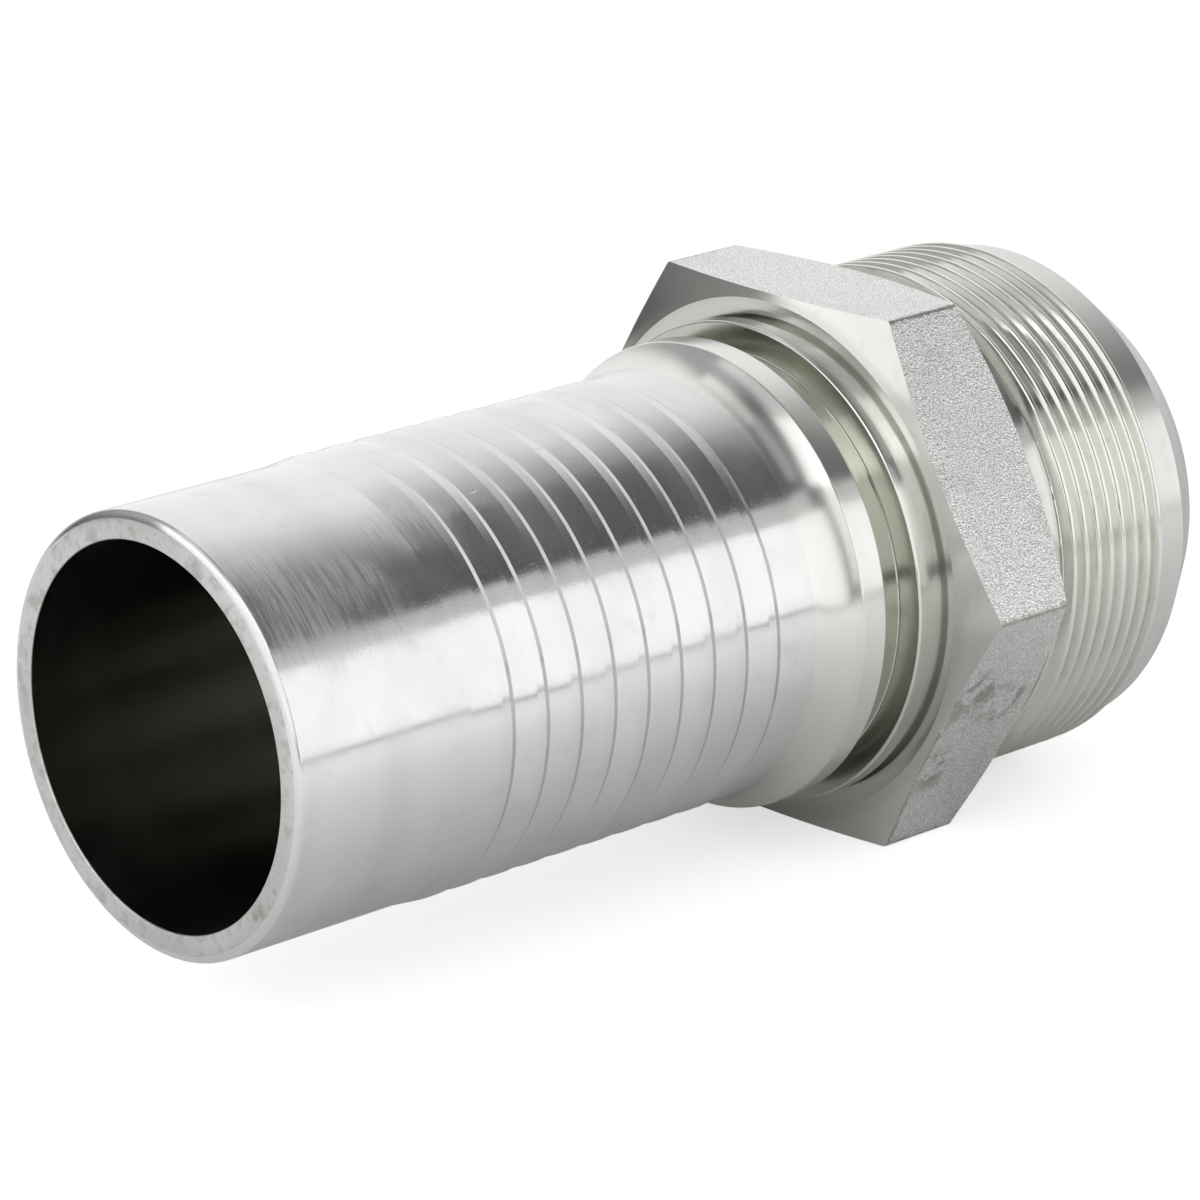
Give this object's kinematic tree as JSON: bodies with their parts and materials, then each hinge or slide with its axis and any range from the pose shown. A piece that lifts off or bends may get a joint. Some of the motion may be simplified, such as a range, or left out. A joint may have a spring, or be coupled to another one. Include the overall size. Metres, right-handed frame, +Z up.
{
  "type": "hydraulic hose fitting",
  "caption": "Turned steel male hose fitting: toothed hose tail with ferrule collar, wrench hexagon, threaded end with cone seat, open bore.",
  "frame": {"origin": "centre of the bore at the flat end face of the hose tail", "axes": "+X along the bore from the hose tail to the threaded end, +Z up, square to the flat of the hexagon that faces down"},
  "size_m": [0.1404, 0.075, 0.065],
  "materials": {
    "plated_steel": "turned and zinc plated, satin, with fine tool lines"
  },
  "bodies": {
    "root": {"hose_fitting": "plated_steel"}
  },
  "joints": []
}
